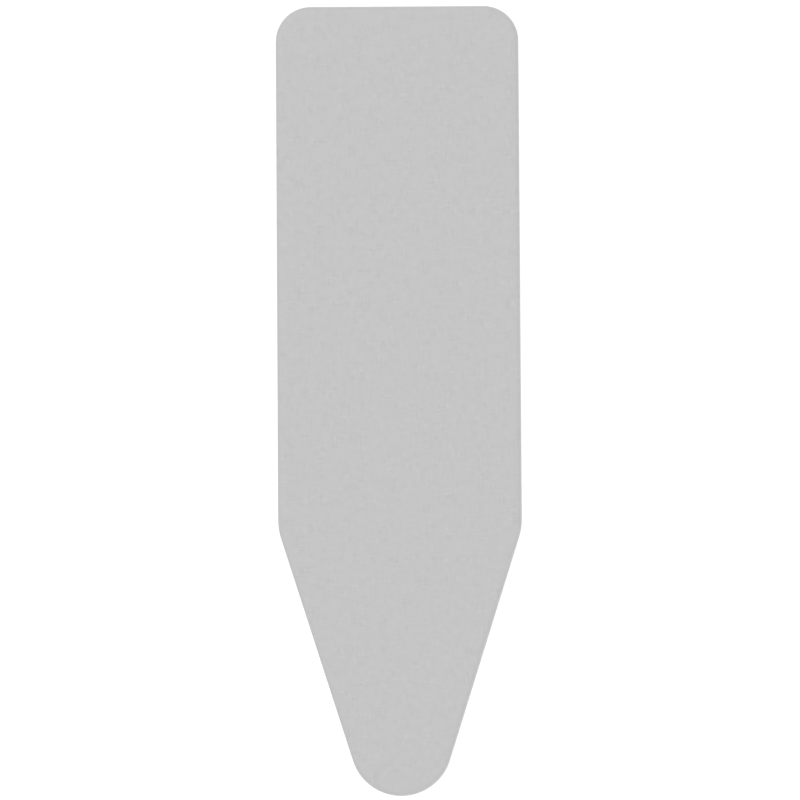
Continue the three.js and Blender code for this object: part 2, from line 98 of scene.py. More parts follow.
def smooth(low, high, value):
    """A share that eases from 0 at low to 1 at high."""
    share = np.clip((np.asarray(value, float) - low) / (high - low), 0, 1)
    return share * share * (3 - 2 * share)


def cross(a, b):
    return a[0] * b[1] - a[1] * b[0]


def circle(angles):
    """Points at these angles, at a distance of 1."""
    return np.stack([np.cos(angles), np.sin(angles)], axis=-1)


def middle_y(node):
    """The middle of a CAD node's box along the board."""
    low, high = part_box(node)
    return (low.y + high.y) / 2 / MM


def add_object(name, data):
    """An object in the scene."""
    made = bpy.data.objects.new(name, data)
    bpy.context.scene.collection.objects.link(made)
    return made


# Outlines


def outward(along):
    return np.array([-along[1], along[0]])


def board_edges(inset):
    """The square end, the side and the taper as lines, moved in by inset: a point of
    each and its direction."""
    edges = [
        ((0, END_Y), np.array([1.0, 0.0])),
        ((BOARD_END_WIDTH / 2, END_Y), np.array([SIDE_LEAN, -SHOULDER_FROM_END]) / SIDE_LENGTH),
        ((BOARD_WIDTH / 2, SHOULDER_Y), -circle(RIGHT_ANGLE - TAPER_ANGLE)),
    ]
    return [(point - outward(along) * inset, along) for point, along in edges]


def arc(centre, radius, start, end, steps):
    """The points and normals of an arc from the normal start to the normal end."""
    first, last = math.atan2(start[1], start[0]), math.atan2(end[1], end[0])
    normals = circle(np.linspace(first, last, steps + 1))
    return centre + normals * radius, normals


def rounding(before, after, radii, name):
    """The arc that rounds the named meeting of two edges."""
    radius, start, end = radii[name], outward(before[1]), outward(after[1])
    a, b = before[0] - start * radius, after[0] - end * radius
    share = cross(b - a, after[1]) / cross(before[1], after[1])
    return arc(a + before[1] * share, radius, start, end, STEPS[name])


def straight(start, end, steps, normal):
    """The points and normals of a straight stretch, its last point left out."""
    shares = np.linspace(0, 1, steps + 1)[:-1, None]
    return start + (end - start) * shares, np.tile(normal, (steps, 1))


def half_end_of_hem():
    """Half the hem's straight run along the square end."""
    inward = HEM_INSET + HEM_RADII["corner"]
    side_x = BOARD_END_WIDTH / 2 + inward * SIDE_LEAN / SHOULDER_FROM_END
    return side_x - inward * (SIDE_LENGTH / SHOULDER_FROM_END)


def half_outline(inset, radii):
    """The +X half of the outline, moved in by inset: its points and outward normals,
    from the middle of the square end to the nose's tip."""
    end, side, taper = board_edges(inset)
    back, right, aslant = outward(end[1]), outward(side[1]), outward(taper[1])
    corner, corner_normals = rounding(end, side, radii, "corner")
    shoulder, shoulder_normals = rounding(side, taper, radii, "shoulder")
    nose_y = (radii["nose"] - taper[0] @ aslant) / math.sin(TAPER_ANGLE)
    nose, nose_normals = arc((0, nose_y), radii["nose"], aslant, (0, -1), STEPS["nose"])
    mouth = end[0] + (corner[0] - end[0]) * (MOUTH_X / half_end_of_hem())
    parts = [
        straight(end[0], mouth, STEPS["mouth"], back),
        straight(mouth, corner[0], STEPS["end"], back),
        (corner[:-1], corner_normals[:-1]),
        straight(corner[-1], shoulder[0], STEPS["side"], right),
        (shoulder[:-1], shoulder_normals[:-1]),
        straight(shoulder[-1], nose[0], STEPS["taper"], aslant),
        (nose, nose_normals),
    ]
    return [np.concatenate(values) for values in zip(*parts)]


def full_loop(half):
    """The whole outline, from the middle of the square end round by +X."""
    return [np.concatenate([values, values[-2:0:-1] * MIRROR]) for values in half]


def run_along(points):
    """The distance along a line or a loop, from its first point."""
    return np.concatenate([[0], np.cumsum(np.linalg.norm(np.diff(points, axis=0), axis=1))])


def spacing(points):
    """How far apart the two neighbours of each point of a loop are."""
    return np.linalg.norm(np.roll(points, -1, 0) - np.roll(points, 1, 0), axis=1)


board_points, board_normals = full_loop(half_outline(0, BOARD_RADII))
hem_points, hem_normals = full_loop(half_outline(HEM_INSET, HEM_RADII))
STATIONS = len(board_points)
COARSE_STATIONS = STATIONS // COARSE

# The cloth's cut: the board's outline, let out by what goes round the edge and under
skirt_end_offset = ROLL_WIDTH / 2 + STITCH_GAP
skirt_end_z = HEM_Z + CLOTH_DEPTH
skirt_run = HEM_INSET - skirt_end_offset - BOARD_EDGE_RADIUS
skirt_slope = math.atan2(BOARD_BOTTOM_Z - skirt_end_z, skirt_run)
edge_radius = BOARD_EDGE_RADIUS + CLOTH_DEPTH
wall = BOARD_THICKNESS - 2 * BOARD_EDGE_RADIUS
arc_top = edge_radius * RIGHT_ANGLE
arc_bottom = edge_radius * (RIGHT_ANGLE - skirt_slope)
skirt_length = skirt_run / math.cos(skirt_slope)
cut_out = arc_top + wall + arc_bottom + skirt_length - BOARD_EDGE_RADIUS
cut_points = board_points + board_normals * cut_out
cut_run = run_along(cut_points)
hem_run = run_along(hem_points)

# Gathers

# How much longer the cut is than the hem at each station, evened out along it
EVENED_STATIONS = 31
weights = np.hanning(EVENED_STATIONS)
weights /= weights.sum()
beside = EVENED_STATIONS // 2
fullness = spacing(cut_points) / spacing(hem_points)
fullness = np.concatenate([fullness[-beside:], fullness, fullness[:beside]])
fullness = np.convolve(fullness, weights, "valid")


def pleat_phase(pitch, spread):
    """A phase that turns once for each pleat, the pleats about pitch apart in the cut."""
    total = cut_run[-1] + np.linalg.norm(cut_points[0] - cut_points[-1])
    count = round(total / pitch)
    widths = 1 + spread * rng.uniform(-1, 1, count)
    marks = np.concatenate([[0], np.cumsum(widths) / widths.sum()]) * total
    return np.interp(cut_run, marks, np.arange(count + 1)) * TURN


def slow_wave(lengths):
    """A smooth wobble from -1 to 1 along the cut: the mean of waves of these lengths."""
    total = cut_run[-1]
    waves = [
        np.sin(TURN * round(total / length) * cut_run / total + rng.uniform(0, TURN))
        for length in lengths
    ]
    return sum(waves) / len(waves)


GATHERS_FROM, SIZE_WOBBLE = 1.1, 0.3


def gather_size(plain, added, full, waves):
    """How deep a gather is at each station: plain, and added more where the cut is full
    times as long as the hem, with a slow wobble."""
    size = plain + added * smooth(GATHERS_FROM, full, fullness)
    return size * (1 + SIZE_WOBBLE * slow_wave(waves))


FOLD_SHARPNESS, FOLD_DRIFT, PUCKER_LEVEL = 1.3, 0.9, 0.4
fold_phase = pleat_phase(pitch=34, spread=0.3)
pucker_phase = pleat_phase(pitch=17, spread=0.25)
fold_size = gather_size(plain=1.3, added=2.7, full=2.2, waves=(150, 93))
pucker_size = gather_size(plain=1.0, added=0.4, full=2.0, waves=(80, 61))
fold_drift = FOLD_DRIFT * slow_wave((210, 130))

# The clips hold the cloth flat, and so does the turned edge between the two mouths:
# each to the first distance, and less and less to the second
CLIP_HOLDS, MOUTH_HOLDS = (14.5, 34), (8, 26)
HEM_SIDE_X = 100
clip_ys = np.array([middle_y(f"{place}_right_clip_base") for place in PLACES])
from_clip = np.min(np.abs(hem_points[:, 1:2] - clip_ys), axis=1)
from_clip[np.abs(hem_points[:, 0]) < HEM_SIDE_X] = CLIP_HOLDS[1]
from_mouth = np.hypot(hem_points[:, 0], hem_points[:, 1] - HEM_END_Y)
loose = smooth(*CLIP_HOLDS, from_clip) * smooth(*MOUTH_HOLDS, from_mouth)

# The hem's own wobble, which the cloth's edge shares
PUCKER_LIFT, WAVE_LIFT, SWELL, SWELL_LAG = 0.3, 0.2, 0.07, 0.6
hem_lift = loose * (PUCKER_LIFT * np.cos(pucker_phase) + WAVE_LIFT * slow_wave((120, 77)))
hem_swell = loose * SWELL * np.cos(pucker_phase + SWELL_LAG)

# Between which shares of the way to the hem the folds and puckers grow, the cloth comes
# to lie as the hem does, and its threads turn square to the hem
FOLDS_GROW, PUCKERS_GROW = (0.02, 0.75), (0.45, 0.85)
EDGE_HELD, EDGE_SQUARE = (0.84, 0.94), (0.78, 0.94)


def drop(share):
    """How far the skirt lies below its plain slope, share of the way to the hem."""
    folds = ((1 + np.cos(fold_phase + fold_drift * share)) / 2) ** FOLD_SHARPNESS
    folds = folds * fold_size * smooth(*FOLDS_GROW, share)
    puckers = (1 + np.cos(pucker_phase)) / 2 - PUCKER_LEVEL
    puckers = puckers * pucker_size * smooth(*PUCKERS_GROW, share)
    held = smooth(*EDGE_HELD, share)
    return (folds + puckers) * loose * (1 - held) - hem_lift * held


# Meshes


def grid_faces(rows, columns, first=0):
    """Quads between rows of points, each row a closed loop."""
    here = first + np.arange((rows - 1) * columns).reshape(-1, columns)
    after = np.roll(here, -1, axis=1)
    corners = [here, after, after + columns, here + columns]
    return np.stack(corners, axis=-1).reshape(-1, 4).tolist()


def tube_faces(rows, columns, turned=False):
    """The faces of a tube of rows, with both ends closed."""
    last = (rows - 1) * columns
    faces = grid_faces(rows, columns)
    faces += [tuple(range(columns))[::-1], tuple(range(last, last + columns))]
    return [face[::-1] for face in faces] if turned else faces


def filling_faces(*loops):
    """Triangles that fill a section's outline, less the loops inside it, as an array of
    indices. All turn from the section's first axis to its second."""
    corners = np.concatenate(loops)
    faces = []
    for face in tessellate_polygon([[Vector((*corner, 0)) for corner in loop] for loop in loops]):
        a, b, c = (corners[i] for i in face)
        faces.append(face if cross(b - a, c - a) > 0 else face[::-1])
    return np.array(faces)


def normals_of(points, faces):
    """Smooth normals at the points, from faces of 3 and 4 corners."""
    normals = np.zeros_like(points)
    for size in (3, 4):
        chosen = np.array([face for face in faces if len(face) == size], int)
        corners = points[chosen]
        flat = np.cross(corners[:, 2] - corners[:, 0], corners[:, -1] - corners[:, 1])
        for place in range(size):
            np.add.at(normals, chosen[:, place], flat)
    return normals / np.linalg.norm(normals, axis=1, keepdims=True)


def laid_along(runs, arounds):
    """Pattern places: along the piece and round it."""
    return np.stack(np.meshgrid(runs, arounds, [0.0], indexing="ij"), axis=-1).reshape(-1, 3)


class Build:
    """Points, faces, their materials and pattern places, gathered for one piece."""

    def __init__(self):
        self.points, self.faces, self.kinds, self.lay, self.count = [], [], [], [], 0

    def add(self, points, faces, lay=None, kind=0):
        """More of the piece. kind is which of its materials the faces have, and lay is
        each point's place in its own pattern."""
        points = np.asarray(points, float).reshape(-1, 3)
        self.points.append(points)
        self.faces += [tuple(int(v) + self.count for v in face) for face in faces]
        self.kinds += [kind] * len(faces)
        self.lay.append(points * 0 if lay is None else lay)
        self.count += len(points)

    def piece(self, name, materials):
        """The object, in metres. The places in the pattern are its attribute lay."""
        mesh = bpy.data.meshes.new(name)
        mesh.from_pydata((np.concatenate(self.points) * MM).tolist(), [], self.faces)
        for material in materials:
            mesh.materials.append(material)
        mesh.polygons.foreach_set("material_index", np.array(self.kinds, np.int32))
        mesh.polygons.foreach_set("use_smooth", np.ones(len(mesh.polygons), bool))
        layer = mesh.attributes.new("lay", "FLOAT_VECTOR", "POINT")
        lay = np.concatenate(self.lay).astype(np.float32) * MM
        layer.data.foreach_set("vector", lay.ravel())
        mesh.validate()
        mesh.update()
        return add_object(name, mesh)


# Layers

# The rings of the ironing face, by how far in they lie from its rim to its spine
TOP_SHARES = np.array([0.9, 0.81, 0.72, 0.63, 0.54, 0.45, 0.36, 0.27, 0.18, 0.1, 0.04])
SPINE_Y = (-500, 470)
WALL_SHARES = (1 / 3, 2 / 3, 0.94)
ARC_ROWS, BOTTOM_ROWS, SKIRT_ROWS = 6, 4, 18
# The face's unevenness, how far it is from rim to spine, and where it fades to the rim
UNEVENNESS, FACE_REACH, FADE_REACH = 0.12, 190, 30


def ring(step, offset, z, let_out):
    """A ring of every step-th station, outside the board's outline by offset, and its
    points' places in the flat cloth, outside the outline by let_out."""
    plan = board_points[::step] + board_normals[::step] * offset
    laid = board_points[::step] + board_normals[::step] * let_out
    return (
        np.column_stack([plan, np.full(len(plan), z)]),
        np.column_stack([laid, np.zeros(len(laid))]),
    )


def edge_rows(depth):
    """Coarse rings of a layer's middle surface, from the face's rim down the wall."""
    radius = BOARD_EDGE_RADIUS + depth
    top = BOARD_TOP_Z - BOARD_EDGE_RADIUS
    rows = []
    for step in range(ARC_ROWS + 1):
        angle = RIGHT_ANGLE * (1 - step / ARC_ROWS)
        offset, z = radius * math.cos(angle) - BOARD_EDGE_RADIUS, top + radius * math.sin(angle)
        rows.append(ring(COARSE, offset, z, -BOARD_EDGE_RADIUS + arc_top * step / ARC_ROWS))
    for share in WALL_SHARES:
        let_out = -BOARD_EDGE_RADIUS + arc_top + wall * share
        rows.append(ring(COARSE, depth, top - wall * share, let_out))
    return rows


def bottom_rows(depth):
    """Fine rings round the board's lower edge, to the start of the skirt."""
    radius = BOARD_EDGE_RADIUS + depth
    bottom = BOARD_BOTTOM_Z + BOARD_EDGE_RADIUS
    rows = []
    for step in range(BOTTOM_ROWS + 1):
        angle = (RIGHT_ANGLE - skirt_slope) * step / BOTTOM_ROWS
        offset, z = radius * math.cos(angle) - BOARD_EDGE_RADIUS, bottom - radius * math.sin(angle)
        let_out = -BOARD_EDGE_RADIUS + arc_top + wall + arc_bottom * step / BOTTOM_ROWS
        rows.append(ring(1, offset, z, let_out))
    return rows


def skirt_rows(start, start_laid, depth, reach, sag):
    """Fine rings across the gathered skirt, from start to reach of the way to the hem.
    Where the cloth hangs a layer hangs by sag of it, and where it rises, as far."""
    end_offset = skirt_end_offset + depth * math.sin(skirt_slope)
    end_z = skirt_end_z - depth * math.cos(skirt_slope)
    end = np.column_stack([hem_points + hem_normals * end_offset, np.full(STATIONS, end_z)])
    _, end_laid = ring(1, 0, 0, cut_out)
    # Near the hem the threads run square to it, so that the edge lies evenly in its slot
    along = hem_normals[:, ::-1] * (1, -1)
    aside = np.sum((start - end)[:, :2] * along, axis=1)
    count = round(SKIRT_ROWS * reach)
    rows = []
    for step in range(1, count + 1):
        share = reach * step / count
        points = start + (end - start) * share
        points[:, :2] -= along * (aside * (1 - share) * smooth(*EDGE_SQUARE, share))[:, None]
        fall = drop(share)
        points[:, 2] -= np.minimum(fall, sag * fall)
        rows.append((points, start_laid + (end_laid - start_laid) * share))
    return rows


def undulation(x, y):
    """The slight unevenness of cloth on foam: three wandering waves."""
    across = np.sin(x / 37 + 0.8 * np.sin(y / 83))
    along = np.sin(y / 51 + 1.1 * np.sin(x / 64) + 2)
    slanting = 0.7 * np.sin((x + y) / 29 + 1.3)
    return UNEVENNESS * (across + along + slanting) / 2.7


def face_rings(rim):
    """The ironing face inside its rim: the points of its spine, which of them each
    coarse station has, and the rings between. Stations across from each other share one."""
    middles = np.column_stack([0 * rim[:, 0], np.clip(rim[:, 1], *SPINE_Y), rim[:, 2]])
    spine, shared = [], np.zeros(COARSE_STATIONS, int)
    for station in range(COARSE_STATIONS // 2 + 1):
        if not spine or spine[-1][1] != middles[station, 1]:
            spine.append(middles[station])
        shared[[station, -station % COARSE_STATIONS]] = len(spine) - 1
    return np.array(spine), shared, [rim + (middles - rim) * share for share in TOP_SHARES]


def spine_faces(shared, first_ring):
    """Faces between the spine and the first ring round it."""
    faces = []
    for i, here in enumerate(shared):
        after = (i + 1) % COARSE_STATIONS
        face = (here, shared[after], first_ring + after, first_ring + i)
        faces.append(face if here != shared[after] else (here, *face[2:]))
    return faces


def widening_faces(first):
    """Faces between the coarse ring that starts at first and the fine ring after it."""
    fine_first, middle = first + COARSE_STATIONS, COARSE // 2
    faces = []
    for i in range(COARSE_STATIONS):
        here, after = first + i, first + (i + 1) % COARSE_STATIONS
        fine = [fine_first + (COARSE * i + step) % STATIONS for step in range(COARSE + 1)]
        faces += [(here, fine[step + 1], fine[step]) for step in range(middle)]
        faces.append((here, after, fine[middle]))
        faces += [(after, fine[step + 1], fine[step]) for step in range(middle, COARSE)]
    return faces


def layer_surface(depth, reach, sag):
    """A layer's middle surface: its points, their places in the flat cloth, its faces."""
    coarse, fine = edge_rows(depth), bottom_rows(depth)
    fine += skirt_rows(*fine[-1], depth, reach, sag)
    rim, _ = coarse[0]
    spine, shared, rings = face_rings(rim)
    inner = np.concatenate([spine, *rings])
    points = np.concatenate([inner] + [row for row, _ in coarse + fine])
    laid = np.concatenate([inner * (1, 1, 0)] + [row for _, row in coarse + fine])

    shares = np.concatenate([np.ones(len(spine)), np.repeat([*TOP_SHARES, 0], COARSE_STATIONS)])
    face = points[: len(shares)]
    face[:, 2] += smooth(0, FADE_REACH, shares * FACE_REACH) * undulation(face[:, 0], face[:, 1])

    coarse_rows = len(rings) + len(coarse)
    last_coarse = len(spine) + (coarse_rows - 1) * COARSE_STATIONS
    faces = spine_faces(shared, len(spine))
    faces += grid_faces(coarse_rows, COARSE_STATIONS, len(spine))
    faces += widening_faces(last_coarse)
    faces += grid_faces(len(fine), STATIONS, last_coarse + COARSE_STATIONS)
    return points, laid, faces


def layer_piece(name, material, depth, thickness, reach, sag):
    """A closed layer: the middle surface, offset both ways and joined at the raw edge."""
    points, laid, faces = layer_surface(depth, reach, sag)
    normals = normals_of(points, faces)
    size = len(points)
    sides = [points + normals * thickness / 2, points - normals * thickness / 2]
    inner_faces = [tuple(size + v for v in face[::-1]) for face in faces]
    edge = np.arange(size - STATIONS, size)
    after = np.roll(edge, -1)
    lip = list(zip(edge, after, size + after, size + edge))
    build = Build()
    build.add(np.concatenate(sides), faces + inner_faces + lip, np.concatenate([laid, laid]))
    return build.piece(name, [material])


# Materials


def add_node(tree, kind, inputs=None, **attributes):
    """A shader node. A socket that is given for an input is linked to it."""
    made = tree.nodes.new("ShaderNode" + kind)
    for key, value in attributes.items():
        setattr(made, key, value)
    for key, value in (inputs or {}).items():
        if isinstance(value, bpy.types.NodeSocket):
            tree.links.new(value, made.inputs[key])
        else:
            made.inputs[key].default_value = value
    return made


class Look:
    """A node material with one Principled shader."""

    def __init__(self, name, **settings):
        self.material = bpy.data.materials.new(name)
        self.material.use_nodes = True
        self.tree = self.material.node_tree
        self.shader = self.tree.nodes["Principled BSDF"]
        self.relief = {}
        for socket, value in settings.items():
            self.shader.inputs[socket].default_value = value

    def node(self, kind, inputs=None, **attributes):
        return add_node(self.tree, kind, inputs, **attributes)

    def link(self, value, socket):
        self.tree.links.new(value, self.shader.inputs[socket])

    def frame_place(self):
        """Coordinates in the row frame, in metres."""
        return self.node("TexCoord").outputs["Object"]

    def lay_place(self):
        """Coordinates in the piece's own pattern, in metres."""
        return self.node("Attribute", attribute_name="lay").outputs["Vector"]

    def mapped(self, vector, scale=(1, 1, 1), turn=0):
        """The vector stretched, or turned by so many degrees."""
        inputs = {"Vector": vector, "Scale": scale, "Rotation": (0, 0, math.radians(turn))}
        return self.node("Mapping", inputs).outputs["Vector"]

    def noise(self, vector, scale=1, detail=2, roughness=0.5):
        inputs = {"Vector": vector, "Scale": scale, "Detail": detail, "Roughness": roughness}
        return self.node("TexNoise", inputs).outputs["Fac"]

    def cells(self, vector, scale):
        return self.node("TexVoronoi", {"Vector": vector, "Scale": scale}).outputs["Distance"]

    def bands(self, vector, pitch, twist, direction="X"):
        """Fine parallel threads, pitch apart in metres."""
        inputs = {"Vector": vector, "Scale": TURN / 20 / pitch, "Distortion": twist}
        node = self.node("TexWave", inputs, wave_type="BANDS", bands_direction=direction)
        return node.outputs["Fac"]

    def math(self, operation, first, second):
        return self.node("Math", {0: first, 1: second}, operation=operation).outputs["Value"]

    def span(self, value, low, high, out_low=0, out_high=1):
        """The value's stretch from low to high, as one from out_low to out_high."""
        inputs = {"From Min": low, "From Max": high, "To Min": out_low, "To Max": out_high}
        return self.node("MapRange", {"Value": value, **inputs}).outputs["Result"]

    def paint(self, value, colour, spread, low=0, high=1):
        """The base colour: a share darker at low and as much lighter at high."""
        ramp = self.node("ValToRGB", {"Fac": value})
        stops = ((low, 1 - spread), (high, 1 + spread))
        for element, (place, share) in zip(ramp.color_ramp.elements, stops):
            element.position = place
            element.color = (*(c * share for c in colour), 1)
        self.link(ramp.outputs["Color"], "Base Color")

    def bump(self, height, distance, strength):
        """Relief, on top of any that the look has."""
        inputs = {"Height": height, "Distance": distance, "Strength": strength}
        normal = self.node("Bump", {**inputs, **self.relief}).outputs["Normal"]
        self.relief = {"Normal": normal}
        self.link(normal, "Normal")


def cloth_look():
    """Metallised cotton: an even grey with faint slubs, and a fine plain weave in relief, with
    painted shade in the colour between its threads.
    """
    thread_pitch, slub_share, weave_shade_share = 0.00052, 0.9, 0.8
    look = Look("metallised_cotton", Metallic=0.15)
    place = look.lay_place()
    clouds = look.noise(place, 42)
    streaks = []
    for scale in ((62, 270, 1), (270, 62, 1)):
        yarn = look.noise(look.mapped(place, scale), detail=1)
        thick, thin = look.span(yarn, 0.58, 0.8), look.span(yarn, 0.2, 0.42, -1, 0)
        streaks.append(look.math("ADD", thick, thin))
    patches = look.span(clouds, 0.42, 0.66, 0.2, 1.3)
    slubs = look.math("MULTIPLY", look.math("ADD", *streaks), patches)
    threads = [look.bands(place, thread_pitch, 0.4, direction) for direction in "XY"]
    weave = look.math("MULTIPLY", *threads)
    tone = look.math("ADD", look.math("MULTIPLY", slubs, slub_share), look.noise(place, 90))
    # Painted shade: the weave makes the colour darker in the gaps between its threads, on top of its
    # own bump.
    tone = look.math("ADD", tone, look.math("MULTIPLY", weave, weave_shade_share))
    look.paint(look.span(tone, 0, 1.4), (0.5315, 0.5315, 0.531), 0.061)
    look.link(look.span(clouds, 0.3, 0.7, 0.47, 0.57), "Roughness")
    look.bump(weave, 0.00004, 0.5)
    look.bump(slubs, 0.00006, 0.25)
    return look.material


def foam_look():
    """Open cell foam, a little yellowed."""
    look = Look("foam", Roughness=0.95)
    place = look.lay_place()
    cells, pores = look.cells(place, 1300), look.cells(place, 520)
    walls = look.math("ADD", look.span(cells, 0.1, 0.5), look.span(pores, 0.06, 0.24))
    tone = look.math("ADD", walls, look.noise(place, 30, detail=3))
    look.paint(look.span(tone, 0.5, 2.5), (0.77, 0.74, 0.67), 0.05)
    look.bump(look.noise(place, 22), 0.001, 0.3)
    look.bump(walls, 0.00016, 0.8)
    return look.material


def tape_look():
    """Woven binding tape with a fine slanting rib."""
    look = Look("binding_tape", Roughness=0.82)
    place = look.lay_place()
    ribs = look.bands(look.mapped(place, turn=38), 0.0009, 0.15)
    fuzz = look.noise(place, 160, detail=3, roughness=0.6)
    tone = look.math("ADD", fuzz, look.math("MULTIPLY", ribs, 0.25))
    look.paint(look.span(tone, 0.35, 0.9), (0.46, 0.465, 0.47), 0.12)
    look.bump(look.noise(place, 260), 0.0003, 0.35)
    look.bump(ribs, 0.00014, 0.7)
    return look.material


def thread_look(name, colour):
    """Twisted sewing thread."""
    look = Look(name, Roughness=0.6)
    twist = look.bands(look.mapped(look.frame_place(), turn=45), 0.0005, 1)
    look.paint(twist, colour, 0.12)
    look.bump(twist, 0.00005, 0.5)
    return look.material


def cord_look():
    """Braided cord: two sets of strands that cross."""
    look = Look("cord", Roughness=0.8)
    place = look.lay_place()
    strands = [look.bands(look.mapped(place, turn=turn), 0.0011, 0.2) for turn in (40, -40)]
    braid = look.math("MAXIMUM", *strands)
    look.paint(braid, (0.74, 0.74, 0.72), 0.14, low=0.2)
    look.bump(braid, 0.00016, 0.7)
    return look.material


def webbing_look():
    """Knitted elastic: rubber ribs along it, yarn across."""
    look = Look("elastic_webbing", Roughness=0.88)
    place = look.lay_place()
    yarn = look.bands(place, 0.0008, 0.6)
    ribs = look.bands(place, 0.0011, 0.3, direction="Y")
    knit = look.math("MULTIPLY", yarn, ribs)
    tone = look.math("ADD", look.math("MULTIPLY", knit, 0.5), look.noise(place, 220))
    look.paint(look.span(tone, 0.3, 1.1), (0.7, 0.7, 0.68), 0.12)
    look.bump(knit, 0.00018, 0.7)
    return look.material


def steel_look():
    """Plated steel, drawn in one direction, with small stains."""
    look = Look("plated_steel", Metallic=1)
    place = look.frame_place()
    drawn = look.noise(look.mapped(place, (260, 7000, 260)))
    stains = look.noise(place, 420, detail=3, roughness=0.6)
    tone = look.math("ADD", drawn, stains)
    look.paint(look.span(tone, 0.7, 1.3), (0.5, 0.51, 0.525), 0.08)
    look.link(look.span(tone, 0.7, 1.3, 0.32, 0.44), "Roughness")
    look.bump(drawn, 0.00002, 0.4)
    return look.material


def plastic_look():
    """Moulded plastic with a fine spark-eroded grain."""
    look = Look("dark_plastic")
    place = look.frame_place()
    patches = look.noise(place, 240, detail=3)
    look.paint(patches, (0.075, 0.08, 0.088), 0.1, low=0.35, high=0.65)
    look.link(look.span(patches, 0.3, 0.7, 0.38, 0.52), "Roughness")
    look.bump(look.noise(place, 4200), 0.00003, 0.5)
    return look.material


cloth_material, foam_material, tape_material = cloth_look(), foam_look(), tape_look()
hem_thread = thread_look("pale_thread", (0.72, 0.72, 0.71))
webbing_thread = thread_look("grey_thread", (0.36, 0.36, 0.37))
cord_material, webbing_material = cord_look(), webbing_look()
steel_material, plastic_material = steel_look(), plastic_look()

# Face and lining

FOAM_SAG = 0.3
cloth = layer_piece("face_cloth_sewn", cloth_material, CLOTH_DEPTH, CLOTH_THICKNESS, reach=1, sag=1)
foam = layer_piece(
    "foam_lining_laid", foam_material, FOAM_THICKNESS / 2, FOAM_THICKNESS, FOAM_SKIRT_SHARE, FOAM_SAG
)

# Stitches

THREAD_RADIUS, STITCH_SIDES, TIP_SINK = 0.3, 5, 1.4
# Along a stitch: the share of the way, the size, and how deep it is sunk in radii
STITCH_RINGS = ((0.04, 0.55, 0.8), (0.3, 1, 0.1), (0.7, 1, 0.1), (0.96, 0.55, 0.8))


def stitch(build, start, end, up, radius):
    """One stitch: a slim thread that dips at both ends. up is 1 for a stitch on the
    upper face of its piece, and -1 on the lower."""
    normal = np.array([0.0, 0.0, up])
    length = np.linalg.norm(end - start)
    along = (end - start) / length
    side = np.cross(normal, along)
    angles = TURN * np.arange(STITCH_SIDES)[:, None] / STITCH_SIDES
    spread = np.cos(angles) * side + np.sin(angles) * normal
    points = []
    for share, size, sink in STITCH_RINGS:
        centre = start + along * length * share - normal * radius * sink
        points.append(centre + spread * radius * size)
    points.append([start - normal * radius * TIP_SINK, end - normal * radius * TIP_SINK])
    faces = grid_faces(len(STITCH_RINGS), STITCH_SIDES)
    last = (len(STITCH_RINGS) - 1) * STITCH_SIDES
    first_tip = last + STITCH_SIDES
    for i in range(STITCH_SIDES):
        after = (i + 1) % STITCH_SIDES
        faces += [(first_tip, after, i), (first_tip + 1, last + i, last + after)]
    build.add(np.concatenate(points), faces, kind=1)


# Hem

# Section points, outwards and up from the middle of the hem's roll: the roll's opening,
# one of its two lips, and the back and a lip of the turned edge between the mouths
ROLL_FROM, ROLL_POINTS = math.radians(52), 17
HEM_LIP = ((4.7, 0.38), (7.15, 0.4), (7.3, 0.62), (7.15, 0.9), (6.4, 0.98), (5.5, 1.2), (4.7, 1.9))
TAPE_BACK = ((4.3, 0.5), (4.05, 0), (4.3, -0.5))
TAPE_LIP = ((4.7, 0.38), (7, 0.4), (7.2, 0.58), (7, 0.8), (5.5, 0.85))
# The roll swells out to here, and from here the lips lean up with the skirt
SWELL_REACH, LIP_BEND = 4.4, 5
CHANNEL_SIDES, TAPE_STATIONS, TAPE_GAP = 12, 17, 0.2

inside = np.arange(STEPS["mouth"], STATIONS - STEPS["mouth"] + 1)
sparse = inside[::COARSE]


def mirrored(points):
    """A lip's points on the section's other side, in the opposite order."""
    return [(across, -up) for across, up in reversed(points)]


def lean_of(across):
    """How far a lip is raised by its lean."""
    return np.maximum(across - LIP_BEND, 0) * math.tan(skirt_slope)


def leaning(points):
    section = np.array(points, float)
    section[:, 1] += lean_of(section[:, 0])
    return section


def hem_section():
    """The hem's outer section: the roll, then the two lips that are sewn over the
    cloth's edge."""
    round_roll = circle(np.linspace(ROLL_FROM, TURN - ROLL_FROM, ROLL_POINTS))
    bent = np.sign(round_roll) * np.abs(round_roll) ** (2 / ROLL_SQUARENESS)
    roll = bent * (ROLL_WIDTH, ROLL_HEIGHT) / 2
    return np.concatenate([roll, leaning([*mirrored(HEM_LIP), *HEM_LIP])])


def swept(points, normals, across, heights):
    """A grid of points: each station's, across from its line by its normal."""
    plan = points[:, None, :] + normals[:, None, :] * across[:, :, None]
    return np.concatenate([plan, heights[:, :, None]], axis=2)


def placed(section, points, normals, lift=0.0, swell=0.0):
    """A section at each station of the hem, lifted, and swelled as far as its roll goes."""
    lift, swell = (np.broadcast_to(value, len(points))[:, None] for value in (lift, swell))
    growth = 1 + np.where(section[:, 0] < SWELL_REACH, swell, 0)
    return swept(points, normals, section[:, 0] * growth, HEM_Z + section[:, 1] * growth + lift)


